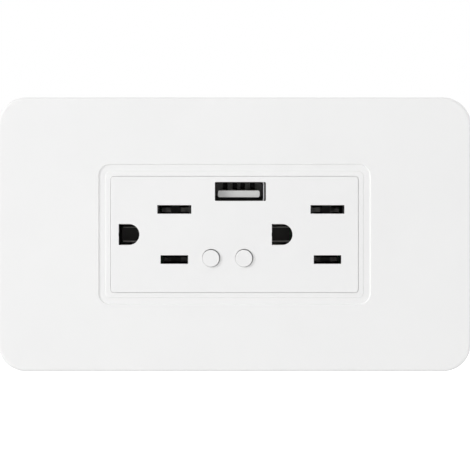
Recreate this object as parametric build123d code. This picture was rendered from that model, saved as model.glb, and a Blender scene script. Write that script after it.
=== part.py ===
from build123d import *
import os

# Smart wall outlet: a snap-on wall plate over a double grounded socket with a USB port and two push
# buttons. X runs to the right along the plate, Z up and Y into the wall. The origin is the middle of
# the mounting strap's back face, on the wall's surface. Sizes are in millimetres, and the design
# works outwards: sockets and USB port, then the face round them, the housing, the strap, the plate.

# Socket openings: the earth hole lies to the left of each pair of slots
slot_spread = 12.7  # neutral slot to hot slot
neutral_slot_l = 8.62
hot_slot_l = 7.0
slot_w = 2.18
ground_offset = 11.5  # line of the slots to the centre of the earth hole's round end
ground_r = 2.66
ground_flat = 2.6  # centre of the round end to the flat end

# USB port
usb_x = 1.1
usb_z = 10.9
usb_shell_w = 12.9
usb_shell_h = 5.4
usb_shell_r = 0.8
usb_sheet = 0.25
usb_tab_w = 2.0  # shell's tabs through the control board
usb_window_w = 12.93
usb_window_h = 4.8
usb_window_r = 0.3
usb_window_shift = 0.39  # the window's centre past the connector's
usb_tongue_w = 10.6
usb_tongue_t = 1.7
usb_tongue_r = 0.4
usb_tongue_drop = 0.57  # tongue's centre below the window's
usb_tongue_setback = 0.9
usb_block_l = 2.5  # solid rear of the connector's insulator
usb_notch_gap = 0.1  # beside each spring, where it passes the block
usb_contact_w = 1.0
usb_contact_t = 0.25
usb_contact_rise = 0.55
usb_contact_setback = 1.0  # behind the tongue's front
usb_outer_pitch = 2.5
usb_inner_pitch = 2.0

# Push buttons
button_x = -1.82  # midway between the two
button_z = -6.04
button_pitch = 8.36
button_r = 2.15
button_gap = 0.15
button_hole_shift = 0.07  # hole's centre past the button's, right and up
button_proud = 0.7
button_edge = 0.12
button_flange_r = 3.2
button_flange_t = 0.9
button_stem_r = 1.6
button_stem_l = 3.0
button_travel = 0.4
button_rest_gap = 0.1  # flange to the back of the face
switch_size = 6.0
switch_h = 3.5
switch_edge = 0.5
switch_leg = 2.2  # switch's middle to its legs, each way
plunger_r = 1.7
plunger_gap = 0.1
plunger_sink = 0.7  # plunger's length inside the switch at rest
plunger_spare = 0.2  # room left behind it when pressed

# Insulating cores that hold the contacts
core_d = 17.5
core_r = 1.0
core_front_wall = 1.2
core_end_wall = 0.84  # past the ends of the neutral slot
core_ground_wall = 0.64
core_long_wall = 1.15
core_mouth_gap = 0.2
pocket_gap = 0.35
usb_side = 1.27  # shell to the right core
button_side = 4.75  # shell to the left core

# Folded contacts
sheet = 0.8
bend = 0.4
blade_pinch = 0.55  # half of the closed gap between a clip's leaves
blade_mouth = 1.45
blade_base = 1.8
neutral_clip_w = 7.2
hot_clip_w = 6.0
clip_slit_w = 2.4
clip_slit_l = 6.0
neutral_clip_setback = 3.2
hot_clip_setback = 4.2
mouth_run = 3.0
pin_pinch = 2.1
pin_mouth = 2.5
pin_base = 2.3
pin_clip_w = 4.4
pin_clip_setback = 2.6
bus_gap = 0.4
bus_half = 2.0
ground_bus_half = 1.6
tail_w = 3.0

# Face cover
face_drop = 0.1  # below the plate's front
face_wall = 1.9
face_r = 0.8
face_edge = 0.15
pad_wall = 1.0
core_gap = 0.35
usb_gap = 0.1
base_side_x = 3.66
base_side_z = 7.3
base_r = 2.0
base_wall = 1.6
base_gap = 0.4
boss_r = 2.6

# Wall plate
plate_overhang = 7.5  # past each end of the strap
plate_border = 12.75  # past the face cover's base, above and below
plate_r = 7.2
plate_proud = 8.0  # wall's surface to the front
plate_wall = 2.0
plate_edge = 0.8
face_gap = 0.06
open_r = 0.9
open_edge = 0.06
rim_drop = 0.28  # below the plate's front
rim_band = 1.14
rim_slope = 45.0  # degrees from square
groove_band = 2.0
groove_r = 3.1
groove_depth = 0.42
groove_slope = 35.0  # degrees from square
pry_w = 14.0  # notch for a blade in the lower rim
pry_d = 1.4
hook_w = 6.0
hook_t = 1.2
hook_pitch = 36.0
hook_gap = 0.2
hook_bite = 0.5
hook_catch_gap = 0.1
hook_end_gap = 0.3

# Mounting strap and the snap frame on it
strap_t = 1.2
strap_lip = 1.0
strap_r = 3.0
strap_gap = 0.3
ear_w = 36.0
ear_r = 6.0
ear_end = 4.1
box_screw_pitch = 83.3
box_slot_w = 4.2
box_slot_l = 7.0
frame_screw_pitch = 96.8
frame_t = 1.8
frame_r = 4.0
frame_gap = 0.4
frame_inset_x = 2.0
frame_inset_z = 2.25
frame_notch = 0.8
frame_notch_gap = 0.3
box_screw_way_r = 5.2

# Rear housing
flange_margin_x = 3.0
flange_margin_z = 2.5
housing_r = 3.0
housing_edge = 1.2
housing_back_edge = 1.0
housing_wall = 1.8
housing_back_wall = 2.0
flange_t = 4.0
screw_inset_x = 4.0
screw_inset_z = 3.5
notch_gap = 0.4
bay_x = 18.0
bay_w = 12.0
bay_depth = 6.0
ground_bay_depth = 7.0
bay_step = 1.6  # board to the bays' front walls
terminal_w = 10.0
terminal_l = 12.0
terminal_screw_in = 6.0  # bay's front to the screw
terminal_boss_half = 3.5
terminal_boss_deep = 4.5
slot_gap = 0.2
post_r = 2.0
post_inset_x = 2.8
post_z = 10.8
field_margin = 3.0  # shallow field in the housing's back
field_r = 2.0
field_depth = 0.4
clamp_size = 9.0
clamp_t = 1.2
clamp_edge = 1.0
wire_way_r = 0.8  # channels for the wires in a clamp plate
wire_way = 3.0  # screw to each channel

# Screws
thread_gap = 0.05
hole_gap = 0.2
case_head_r = 2.7
case_head_h = 1.9
case_screw_r = 1.45
case_screw_l = 8.4
case_pilot_spare = 0.4
frame_head_r = 3.0
frame_head_h = 1.6
frame_screw_r = 1.65
frame_tip_gap = 0.1
terminal_head_r = 3.6
terminal_head_h = 2.4
terminal_screw_r = 1.75
terminal_screw_l = 5.4
terminal_pilot_spare = 0.4
board_head_r = 1.8
board_head_h = 1.1
board_screw_r = 1.0
board_screw_l = 6.0
board_pilot_spare = 0.5
head_edge = 0.5

# Boards and what they carry
board_gap = 0.4
bus_to_board = 0.3
main_board_t = 1.6
control_board_t = 1.0
control_gap = 0.3
control_board_half = 13.4
wifi_gap = 0.6
wifi_w = 14.9
wifi_h = 13.3
wifi_z = -3.0
wifi_t = 0.8
shield_w = 11.6
shield_h = 9.6
shield_t = 2.0
shield_edge = 0.4
header_pins = 5
header_pitch = 2.54
header_z = -11.9
header_t = 2.5
header_pin = 0.64
pin_gap = 0.1
pin_trim = 0.4  # the pins' ends, before the main board's back
lead_r = 0.4
lead_inset = 1.5  # from the edges of relays and bobbin
relay_l = 20.3
relay_w = 10.3
relay_h = 15.8
relay_edge = 0.6
relay_wall_gap = 0.5
case_gap = 0.6  # tallest part to the housing's back wall
transformer_x = -5.0
transformer_z = 0.0
ferrite_w = 13.0
ferrite_t = 6.0
ferrite_leg = 1.8
ferrite_mid = 3.4
ferrite_yoke = 2.3
ferrite_d = 12.4
coil_gap = 0.1
coil_half = 6.0
bobbin_foot_w = 13.4
bobbin_foot_half = 6.5
bobbin_foot_t = 2.4
bobbin_post_half = 4.0
film_x = 13.0
film_z = -6.2
film_l = 13.0
film_t = 5.4
film_h = 11.0
film_edge = 0.6
film_lead = 5.0  # part's middle to its lead, as in the other parts here
bulk_r = 4.0
bulk_h = 14.0
bulk_z = -4.4
bulk_lead = 1.75
output_r = 3.15
output_h = 11.0
output_z = 4.0
output_lead = 1.25
can_edge = 0.5
can_groove = 0.35
can_groove_at = 1.6
varistor_x = 13.5
varistor_z = 5.6
varistor_r = 4.25
varistor_t = 4.0
varistor_edge = 1.0
varistor_lead = 2.5
fuse_x = 3.4
fuse_z = -14.0
fuse_l = 8.4
fuse_t = 4.2
fuse_h = 7.6
fuse_edge = 0.4
fuse_lead = 2.54
inductor_x = 3.4
inductor_z = 14.0
inductor_r = 3.0
inductor_h = 8.0
inductor_waist = 0.6
inductor_flange = 1.2
inductor_lead = 1.75
bridge_x = -17.5
bridge_z = 0.0
bridge_l = 4.8
bridge_w = 3.9
bridge_h = 2.4
bridge_inset = 0.8

# Depths, front to back
front_y = -plate_proud
plate_back = front_y + plate_wall
rim_front = front_y + rim_drop
face_front = front_y + face_drop
face_back = face_front + face_wall
base_front = plate_back + base_gap
base_back = base_front + base_wall
strap_front = -strap_t
frame_front = strap_front - frame_t
core_front = face_back
core_back = core_front + core_d
bus_front = core_back + bus_gap
bus_back = bus_front + sheet
board_front = bus_back + bus_to_board
board_back = board_front + main_board_t
control_back = bus_front - wifi_gap - shield_t - wifi_t
control_front = control_back - control_board_t
usb_front = face_back + usb_gap
tongue_front = usb_front + usb_tongue_setback
block_front = control_front - usb_block_l
flange_front = face_back + button_rest_gap
flange_back = flange_front + button_flange_t
stem_end = flange_back + button_stem_l
bay_front = board_back + bay_step + housing_wall
terminal_y = bay_front + terminal_screw_in
terminal_end = bay_front + terminal_l
housing_d = board_back + relay_h + case_gap + housing_back_wall
cavity_back = housing_d - housing_back_wall

# Places across the front
neutral_z = slot_spread / 2
tongue_top = usb_z - usb_tongue_drop + usb_tongue_t / 2
core_left_reach = ground_offset + ground_flat + core_ground_wall
core_right_reach = neutral_slot_l / 2 + core_end_wall
mid_left = usb_x - usb_shell_w / 2 - button_side
mid_right = usb_x + usb_shell_w / 2 + usb_side
left_column = mid_left - core_right_reach
right_column = mid_right + core_left_reach
blade_pocket_half = blade_base + sheet + pocket_gap
pin_pocket_half = pin_mouth + sheet + pocket_gap
core_half = neutral_z + blade_pocket_half + core_long_wall

# Outlines from the inside out
pad_half_w = core_left_reach - left_column + core_gap
pad_half_h = usb_z + usb_shell_h / 2 + usb_gap
face_w = 2 * (pad_half_w + pad_wall)
face_h = 2 * (pad_half_h + pad_wall)
base_w = face_w + 2 * base_side_x
base_h = face_h + 2 * base_side_z
screw_x = base_w / 2 - screw_inset_x
screw_z = base_h / 2 - screw_inset_z
housing_w = 2 * (screw_x + flange_margin_x)
housing_h = 2 * (screw_z + flange_margin_z)
inner_half_w = housing_w / 2 - housing_wall
inner_half_h = housing_h / 2 - housing_wall
notch_x = screw_x - case_head_r - notch_gap
notch_z = screw_z - case_head_r - notch_gap
bay_floor = housing_h / 2 - bay_depth
ground_floor = ground_bay_depth - housing_w / 2
leg_x = board_gap / 2 - inner_half_w
post_x = inner_half_w - post_inset_x
relay_x = relay_wall_gap - (notch_x - housing_wall) + relay_l / 2
relay_z = inner_half_h - relay_wall_gap - relay_w / 2
bulk_x = inner_half_w - board_gap - bulk_r
output_x = inner_half_w - board_gap - output_r
strap_l = frame_screw_pitch + 2 * ear_end
plate_w = strap_l + 2 * plate_overhang
plate_h = base_h + 2 * plate_border
open_w = face_w + 2 * face_gap
open_h = face_h + 2 * face_gap
frame_w = plate_w - 2 * (plate_wall + frame_inset_x)
frame_h = plate_h - 2 * (plate_wall + frame_inset_z)

# Parts on the main board: middle in X and Z, then how far their leads stand from it each way
relay_spread = (relay_l / 2 - lead_inset, relay_w / 2 - lead_inset)
bobbin_spread = (bobbin_foot_w / 2 - lead_inset, bobbin_foot_half - lead_inset)
bridge_spread = (bridge_l / 2 - bridge_inset, bridge_w / 2 - bridge_inset)
LEADS = {
    "relay_upper": (relay_x, relay_z, *relay_spread),
    "relay_lower": (relay_x, -relay_z, *relay_spread),
    "transformer": (transformer_x, transformer_z, *bobbin_spread),
    "bulk": (bulk_x, bulk_z, 0, bulk_lead),
    "output": (output_x, output_z, 0, output_lead),
    "film": (film_x, film_z, film_lead, 0),
    "fuse": (fuse_x, fuse_z, fuse_lead, 0),
    "varistor": (varistor_x, varistor_z, varistor_lead, 0),
    "inductor": (inductor_x, inductor_z, inductor_lead, 0),
    "bridge": (bridge_x, bridge_z, *bridge_spread),
}
BUTTONS = {
    "left": button_x - button_pitch / 2,
    "right": button_x + button_pitch / 2,
}
COLUMNS = {"left": left_column, "right": right_column}
CORNERS = [(i, j) for i in (-1, 1) for j in (-1, 1)]
TERMINALS = ("neutral", "line", "ground")
SPRINGS = [usb_x + i * (usb_inner_pitch / 2 + j * usb_outer_pitch) for i in (-1, 1) for j in (0, 1)]


def span(x0, x1, z0, z1):
    """A rectangle between two places in X and two in Z."""
    return Pos((x0 + x1) / 2, (z0 + z1) / 2) * Rectangle(x1 - x0, z1 - z0)


def slab(outline, front, back):
    """A plate with this outline in X and Z, from one depth to another."""
    return extrude(Plane.XZ.offset(-back) * outline, back - front)


def tapered(outline, front, depth, slope):
    """A plate that narrows by a slope as it goes back from its front."""
    plane = Plane((0, front, 0), x_dir=(1, 0, 0), z_dir=(0, 1, 0))
    return extrude(plane * outline, depth, taper=slope)


def rounded(outline, front, back, edge):
    """A plate with its front and back edges rounded."""
    solid = slab(outline, front, back)
    ends = solid.faces().filter_by(Axis.Y)
    return fillet(ends.edges(), edge)


def folded(points, thickness):
    """The edge-on outline of a strip folded along the points, its thickness on their left side."""
    path = [Vector(*point) for point in points]
    runs = [(b - a).normalized() for a, b in zip(path, path[1:])]
    sides = [Vector(-run.Y, run.X) for run in runs]
    corners = [(m + n) * (1 / (1 + m.dot(n))) for m, n in zip(sides, sides[1:])]
    far = [p + s * thickness for p, s in zip(path, [sides[0], *corners, sides[-1]])]
    turns = [m.cross(n).Z for m, n in zip(runs, runs[1:])]
    tight, wide = bend, bend + thickness
    near_line = FilletPolyline(*path, radius=[tight if turn < 0 else wide for turn in turns])
    far_line = FilletPolyline(*far, radius=[wide if turn < 0 else tight for turn in turns])
    ends = Line(path[0], far[0]) + Line(path[-1], far[-1])
    return make_face(near_line + far_line + ends)


def across(profile, x, width):
    """A strip of this profile in Y and Z, with its width in X."""
    return extrude(Plane.YZ.offset(x - width / 2) * profile, width)


def screw(head_r, head_h, shank_r, length):
    """A screw along Z: its head stands on the origin and its shank hangs below."""
    head = chamfer(Cylinder(head_r, head_h).edges().sort_by(Axis.Z)[-1], head_edge)
    return Pos(0, 0, head_h / 2) * head + Pos(0, 0, -length / 2) * Cylinder(shank_r, length)


def ground_hole(column, gap=0.0):
    """The earth hole's outline: a round end towards the slots and a flat end."""
    x = column - ground_offset
    radius = ground_r + gap
    return Pos(x, 0) * Circle(radius) + span(x - ground_flat - gap, x, -radius, radius)


def slots(column, gap=0.0):
    """The two slots of one socket."""
    neutral = Pos(column, neutral_z) * Rectangle(neutral_slot_l + 2 * gap, slot_w + 2 * gap)
    hot = Pos(column, -neutral_z) * Rectangle(hot_slot_l + 2 * gap, slot_w + 2 * gap)
    return neutral + hot


def lead_row(name, radius):
    """The round outlines of one part's leads in the main board."""
    x, z, half_x, half_z = LEADS[name]
    places = {(x + i * half_x, z + j * half_z) for i, j in CORNERS}
    return Sketch() + [Pos(*place) * Circle(radius) for place in sorted(places)]


def leads(name, back=board_back):
    """The leads of one part, cut flush at the front of the main board."""
    return slab(lead_row(name, lead_r), board_front, back)


def switch_legs(x, radius):
    """The round outlines of one push switch's legs in the control board."""
    legs = [Pos(x + i * switch_leg, button_z + j * switch_leg) * Circle(radius) for i, j in CORNERS]
    return Sketch() + legs


def usb_tabs(gap=0.0):
    """The outlines of the tabs that hold the USB port's shell in the control board."""
    tab = Rectangle(usb_sheet + 2 * gap, usb_tab_w + 2 * gap)
    offset = (usb_shell_w - usb_sheet) / 2
    return Sketch() + [Pos(usb_x + side * offset, usb_z) * tab for side in (-1, 1)]


def wall_plate():
    """The snap-on plate: a shallow tray with a sunk band and a low rim round its opening, and hooks."""
    tray = slab(RectangleRounded(plate_w, plate_h, plate_r), front_y, 0)
    tray = fillet(tray.faces().sort_by(Axis.Y)[0].edges(), plate_edge)
    inside = RectangleRounded(plate_w - 2 * plate_wall, plate_h - 2 * plate_wall, plate_r - plate_wall)
    tray -= slab(inside, plate_back, 0)
    rim_w, rim_h = open_w + 2 * rim_band, open_h + 2 * rim_band
    outer = RectangleRounded(rim_w + 2 * groove_band, rim_h + 2 * groove_band, groove_r)
    island = RectangleRounded(rim_w, rim_h, groove_r - groove_band)
    tray -= tapered(outer, front_y, groove_depth, groove_slope)
    tray += tapered(island, rim_front, groove_depth - rim_drop, -rim_slope)
    tray -= slab(RectangleRounded(open_w, open_h, open_r), rim_front, plate_back)
    mouth = RectangleRounded(open_w + 2 * open_edge, open_h + 2 * open_edge, open_r + open_edge)
    tray -= tapered(mouth, rim_front, open_edge, rim_slope)
    tray -= slab(Pos(0, -plate_h / 2) * Rectangle(pry_w, 2 * plate_wall), -pry_d, 0)
    inner_z = frame_h / 2 - frame_notch + hook_gap
    catch_y = strap_front + hook_catch_gap
    barb_z = inner_z - hook_gap - hook_bite
    profile = Polyline(
        (plate_back, inner_z),
        (catch_y, inner_z),
        (catch_y, barb_z),
        (-hook_end_gap, inner_z),
        (-hook_end_gap, inner_z + hook_t),
        (plate_back, inner_z + hook_t),
        close=True,
    )
    for x in (-hook_pitch, 0, hook_pitch):
        hook = across(make_face(profile), x, hook_w)
        tray += [hook, mirror(hook, about=Plane.XY)]
    return tray


def snap_frame():
    """The flat frame on the strap that the plate's hooks grip."""
    outline = RectangleRounded(frame_w, frame_h, frame_r)
    outline -= RectangleRounded(base_w + 2 * frame_gap, base_h + 2 * frame_gap, base_r)
    for side in (-1, 1):
        outline -= Pos(side * box_screw_pitch / 2, 0) * Circle(box_screw_way_r)
        outline -= Pos(side * frame_screw_pitch / 2, 0) * Circle(frame_screw_r + hole_gap)
        for x in (-hook_pitch, 0, hook_pitch):
            notch = Rectangle(hook_w + 2 * frame_notch_gap, 2 * frame_notch)
            outline -= Pos(x, side * frame_h / 2) * notch
    return slab(outline, frame_front, strap_front)


def mounting_strap():
    """The steel strap: a body under the face cover, and two ears with slots for the box screws."""
    outline = RectangleRounded(base_w + 2 * strap_lip, base_h + 2 * strap_lip, strap_r)
    outline += RectangleRounded(strap_l, ear_w, ear_r)
    window_half = pad_half_w + strap_gap
    outline -= Rectangle(2 * window_half, 2 * (pad_half_h + strap_gap))
    half = ground_bus_half + thread_gap
    outline -= span(leg_x - thread_gap, -window_half, -half, half)
    for i, j in CORNERS:
        outline -= Pos(i * screw_x, j * screw_z) * Circle(case_screw_r + hole_gap)
    for side in (-1, 1):
        outline -= Pos(side * box_screw_pitch / 2, 0) * SlotOverall(box_slot_l, box_slot_w)
        outline -= Pos(side * frame_screw_pitch / 2, 0) * Circle(frame_screw_r + thread_gap)
    return slab(outline, strap_front, 0)


def face_cover():
    """The white front: a raised pad with all the openings, on a base that hides under the plate."""
    pad = slab(RectangleRounded(face_w, face_h, face_r), face_front, base_back)
    pad = fillet(pad.faces().sort_by(Axis.Y)[0].edges(), face_edge)
    cover = pad + slab(RectangleRounded(base_w, base_h, base_r), base_front, strap_front)
    cover -= slab(Rectangle(2 * pad_half_w, 2 * pad_half_h), face_back, base_back)
    cover -= slab(Rectangle(base_w - 2 * base_wall, base_h - 2 * base_wall), base_back, strap_front)
    pilot_end = flange_t - case_screw_l - case_pilot_spare
    for i, j in CORNERS:
        place = Pos(i * screw_x, j * screw_z)
        cover += slab(place * Circle(boss_r), base_back, strap_front)
        cover -= slab(place * Circle(case_screw_r + thread_gap), pilot_end, strap_front)
    window = RectangleRounded(usb_window_w, usb_window_h, usb_window_r)
    openings = Pos(usb_x + usb_window_shift, usb_z) * window
    for column in COLUMNS.values():
        openings += slots(column) + ground_hole(column)
    for x in BUTTONS.values():
        place = Pos(x + button_hole_shift, button_z + button_hole_shift)
        openings += place * Circle(button_r + button_gap)
    return cover - slab(openings, face_front, face_back)


def socket_core(column):
    """The dark insulator behind one socket, with a pocket for each contact, open at the back."""
    left, right = column - core_left_reach, column + core_right_reach
    body = RectangleRounded(right - left, 2 * core_half, core_r)
    core = slab(Pos((left + right) / 2, 0) * body, core_front, core_back)
    pockets = ground_hole(column)
    pockets += Pos(column - ground_offset, 0) * Rectangle(pin_clip_w + 2 * pocket_gap, 2 * pin_pocket_half)
    for side in (-1, 1):
        pocket = Rectangle(neutral_clip_w + 2 * pocket_gap, 2 * blade_pocket_half)
        pockets += Pos(column, side * neutral_z) * pocket
    core -= slab(pockets, core_front + core_front_wall, core_back)
    mouths = slots(column, core_mouth_gap) + ground_hole(column, core_mouth_gap)
    return core - slab(mouths, core_front, core_front + core_front_wall)


def clip(x, z, width, setback, pinch, mouth, base):
    """A spring clip folded from one strip: a base at the back and two leaves that close on a blade."""
    tip = core_front + core_front_wall + setback
    half = [(tip, mouth), (tip + mouth_run, pinch), (bus_front, base)]
    points = half + [(y, -h) for y, h in reversed(half)]
    return across(Pos(0, z) * folded(points, sheet), x, width)


def terminal_leaf(inner_z):
    """The end of a conductor that turns back along the floor of the upper terminal bay."""
    top = bay_floor + sheet
    points = [(terminal_end, top), (bus_front, top), (bus_front, inner_z)]
    return across(folded(points, sheet), bay_x, terminal_w)


def terminal_seat(name):
    """The place of a terminal's screw: on its leaf, with Z pointing out of the bay."""
    height = bay_floor + sheet
    places = {
        "neutral": Pos(bay_x, terminal_y, height),
        "line": Pos(bay_x, terminal_y, -height) * Rot(180, 0, 0),
        "ground": Pos(ground_floor - sheet, terminal_y, 0) * Rot(0, -90, 0),
    }
    return places[name]


def terminal_hole(name):
    """The hole through a terminal's leaf for its screw."""
    return terminal_seat(name) * Cylinder(terminal_screw_r + thread_gap, 3 * sheet)


def neutral_bus():
    """The neutral conductor: two clips on a strip that rises to the upper terminal bay."""
    strip_left = left_column - neutral_clip_w / 2
    strip_right = right_column + neutral_clip_w / 2
    outline = span(strip_left, strip_right, neutral_z - bus_half, neutral_z + bus_half)
    bus = slab(outline, bus_front, bus_back) + terminal_leaf(neutral_z)
    slit_end = core_front + core_front_wall + neutral_clip_setback + clip_slit_l
    for column in COLUMNS.values():
        size = (neutral_clip_w, neutral_clip_setback, blade_pinch, blade_mouth, blade_base)
        leaves = clip(column, neutral_z, *size)
        slit = Pos(column, neutral_z) * Rectangle(clip_slit_w, 2 * blade_pocket_half)
        bus += leaves - slab(slit, core_front, slit_end)
    return bus - terminal_hole("neutral")


def hot_contact(column):
    """The hot contact of one socket: a clip with a tail through the main board."""
    size = (hot_clip_w, hot_clip_setback, blade_pinch, blade_mouth, blade_base)
    tail = slab(Pos(column, -neutral_z) * Rectangle(tail_w, sheet), bus_front, board_back)
    return clip(column, -neutral_z, *size) + tail


def ground_bus():
    """The earth conductor: two clips on a strip, a leg up to the strap and a leaf to the end bay."""
    points = [
        (right_column - ground_offset + pin_clip_w / 2, bus_back),
        (leg_x, bus_back),
        (leg_x, strap_front),
    ]
    bus = extrude(Plane.XY.offset(-ground_bus_half) * folded(points, sheet), 2 * ground_bus_half)
    leaf = Pos(ground_floor - sheet / 2, 0) * Rectangle(sheet, terminal_w)
    bus += slab(leaf, bus_front, terminal_end)
    for column in COLUMNS.values():
        x = column - ground_offset
        bus += clip(x, 0, pin_clip_w, pin_clip_setback, pin_pinch, pin_mouth, pin_base)
    return bus - terminal_hole("ground")


def line_terminal():
    """The line conductor: a leaf in the lower terminal bay with two tails in the main board."""
    foot_z = bay_floor - terminal_w / 2
    leaf = mirror(terminal_leaf(foot_z), about=Plane.XY)
    for side in (-1, 1):
        place = Pos(bay_x + side * tail_w, -foot_z - sheet / 2)
        leaf += slab(place * Rectangle(tail_w / 2, sheet), bus_front, board_back)
    return leaf - terminal_hole("line")


def clamp_plate():
    """The square plate under a terminal screw's head, with a channel for a wire on each side."""
    outline = RectangleRounded(clamp_size, clamp_size, clamp_edge) - Circle(terminal_screw_r + hole_gap)
    channel = Rot(90, 0, 0) * Cylinder(wire_way_r, clamp_size)
    return extrude(outline, clamp_t) - [Pos(side * wire_way, 0, 0) * channel for side in (-1, 1)]


def terminal_screw():
    """A terminal screw, placed from the face of its leaf."""
    return Pos(0, 0, clamp_t) * screw(terminal_head_r, terminal_head_h, terminal_screw_r, terminal_screw_l)


def housing_outline(inset):
    """The housing's section behind its corner flanges, drawn in from its outside."""
    body = Rectangle(housing_w - 2 * inset, housing_h - 2 * inset)
    cut_x = housing_w / 2 - notch_x + inset
    cut_z = housing_h / 2 - notch_z + inset
    for i, j in CORNERS:
        body -= Pos(i * housing_w / 2, j * housing_h / 2) * Rectangle(2 * cut_x, 2 * cut_z)
    return fillet(body.vertices(), housing_edge)


def bays(grow):
    """The three terminal bays, open to the side and the back, drawn out on their inner faces."""
    half = bay_w / 2 + grow
    front = bay_front - grow
    upper = span(bay_x - half, bay_x + half, bay_floor - grow, housing_h / 2)
    end = span(-housing_w / 2, ground_floor + grow, -half, half)
    upper_bay = slab(upper, front, housing_d)
    return [upper_bay, mirror(upper_bay, about=Plane.XY), slab(end, front, housing_d)]


def rear_housing():
    """The deep box behind the wall: corner flanges, terminal bays, board posts and screw bosses."""
    shell = slab(RectangleRounded(housing_w, housing_h, housing_r), 0, flange_t)
    box = slab(housing_outline(0), flange_t, housing_d)
    shell += chamfer(box.faces().sort_by(Axis.Y)[-1].edges(), housing_back_edge)
    left, right = ground_floor + housing_wall + field_margin, housing_w / 2 - field_margin
    field = RectangleRounded(right - left, 2 * (bay_floor - housing_wall - field_margin), field_r)
    shell -= slab(Pos((left + right) / 2, 0) * field, housing_d - field_depth, housing_d)
    cavity = slab(housing_outline(housing_wall), 0, cavity_back) - bays(housing_wall)
    for name in TERMINALS:
        boss = Box(2 * terminal_boss_half, 2 * terminal_boss_half, terminal_boss_deep)
        cavity -= terminal_seat(name) * Pos(0, 0, -sheet - terminal_boss_deep / 2) * boss
    for i, j in CORNERS:
        cavity -= slab(Pos(i * post_x, j * post_z) * Circle(post_r), board_back, cavity_back)
    shell = shell - cavity - bays(0)
    for i, j in CORNERS:
        shell -= slab(Pos(i * screw_x, j * screw_z) * Circle(case_screw_r + hole_gap), 0, flange_t)
        pilot = Pos(i * post_x, j * post_z) * Circle(board_screw_r + thread_gap)
        shell -= slab(pilot, board_back, board_front + board_screw_l + board_pilot_spare)
    pilot_l = terminal_screw_l - clamp_t + terminal_pilot_spare
    half = terminal_w / 2 + slot_gap
    rise = bay_floor + sheet + slot_gap
    way = slab(span(bay_x - half, bay_x + half, bay_floor, rise), board_back, bay_front)
    end_way = span(ground_floor - sheet - slot_gap, ground_floor, -half, half)
    shell -= [way, mirror(way, about=Plane.XY), slab(end_way, board_back, bay_front)]
    for name in TERMINALS:
        pilot = Pos(0, 0, -pilot_l / 2) * Cylinder(terminal_screw_r + thread_gap, pilot_l)
        shell -= terminal_seat(name) * pilot
    return shell


def case_screws():
    """The four screws that hold the housing, the strap and the face cover together."""
    one = Rot(-90, 0, 0) * screw(case_head_r, case_head_h, case_screw_r, case_screw_l)
    return Compound(children=[Pos(i * screw_x, flange_t, j * screw_z) * one for i, j in CORNERS])


def frame_screws():
    """The two screws that hold the snap frame on the strap."""
    length = frame_t + strap_t - frame_tip_gap
    one = Rot(90, 0, 0) * screw(frame_head_r, frame_head_h, frame_screw_r, length)
    return Compound(children=[Pos(i * frame_screw_pitch / 2, frame_front, 0) * one for i in (-1, 1)])


def board_screws():
    """The four screws that hold the main board on the housing's posts."""
    one = Rot(90, 0, 0) * screw(board_head_r, board_head_h, board_screw_r, board_screw_l)
    return Compound(children=[Pos(i * post_x, board_front, j * post_z) * one for i, j in CORNERS])


def main_board():
    """The power board across the housing, cut round the conductors that pass it."""
    half_w, half_h = inner_half_w - board_gap, inner_half_h - board_gap
    outline = Rectangle(2 * half_w, 2 * half_h)
    cut_x = half_w - (notch_x - housing_wall - board_gap)
    cut_z = half_h - (notch_z - housing_wall - board_gap)
    half = terminal_w / 2 + slot_gap
    for i, j in CORNERS:
        outline -= Pos(i * half_w, j * half_h) * Rectangle(2 * cut_x, 2 * cut_z)
        outline -= Pos(i * post_x, j * post_z) * Circle(board_screw_r + hole_gap)
    for side in (-1, 1):
        notch = Rectangle(2 * half, 2 * (half_h - bay_floor + slot_gap))
        outline -= Pos(bay_x, side * half_h) * notch
        pad = Rectangle(tail_w / 2 + 2 * slot_gap, sheet + 2 * slot_gap)
        outline -= Pos(bay_x + side * tail_w, terminal_w / 2 - bay_floor - sheet / 2) * pad
    outline -= span(ground_floor - sheet - slot_gap, ground_floor + slot_gap, -half, half)
    for column in COLUMNS.values():
        outline -= Pos(column, -neutral_z) * Rectangle(tail_w + 2 * slot_gap, sheet + 2 * slot_gap)
    outline -= header_row(header_pin + 2 * pin_gap)
    for name in LEADS:
        outline -= lead_row(name, lead_r + pin_gap)
    return slab(outline, board_front, board_back)


def header_row(size):
    """The square outlines of the pins between the two boards."""
    middle = (mid_left + mid_right) / 2
    places = [middle + (i - (header_pins - 1) / 2) * header_pitch for i in range(header_pins)]
    return Sketch() + [Pos(x, header_z) * Rectangle(size, size) for x in places]


def control_board():
    """The small board behind the buttons and the USB port."""
    outline = span(mid_left + control_gap, mid_right - control_gap, -control_board_half, control_board_half)
    outline -= header_row(header_pin + 2 * pin_gap) + usb_tabs(pin_gap)
    for x in BUTTONS.values():
        outline -= switch_legs(x, lead_r + pin_gap)
    return slab(outline, control_front, control_back)


def header_strip():
    """The plastic strip that spaces the pins between the boards."""
    middle = (mid_left + mid_right) / 2
    outline = Pos(middle, header_z) * Rectangle(header_pins * header_pitch, header_pitch)
    return slab(outline - header_row(header_pin), control_back, control_back + header_t)


def header_pin_row():
    """The pins that join the boards, one solid each."""
    pins = slab(header_row(header_pin), control_front, board_back - pin_trim)
    return Compound(children=list(pins.solids()))


def usb_shell():
    """The folded steel shell of the USB port, with two tabs through the control board."""
    outer = RectangleRounded(usb_shell_w, usb_shell_h, usb_shell_r)
    inner_w, inner_h = usb_shell_w - 2 * usb_sheet, usb_shell_h - 2 * usb_sheet
    inner = RectangleRounded(inner_w, inner_h, usb_shell_r - usb_sheet)
    shell = slab(Pos(usb_x, usb_z) * (outer - inner), usb_front, control_front)
    return shell + slab(usb_tabs(), control_front, control_back)


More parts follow.
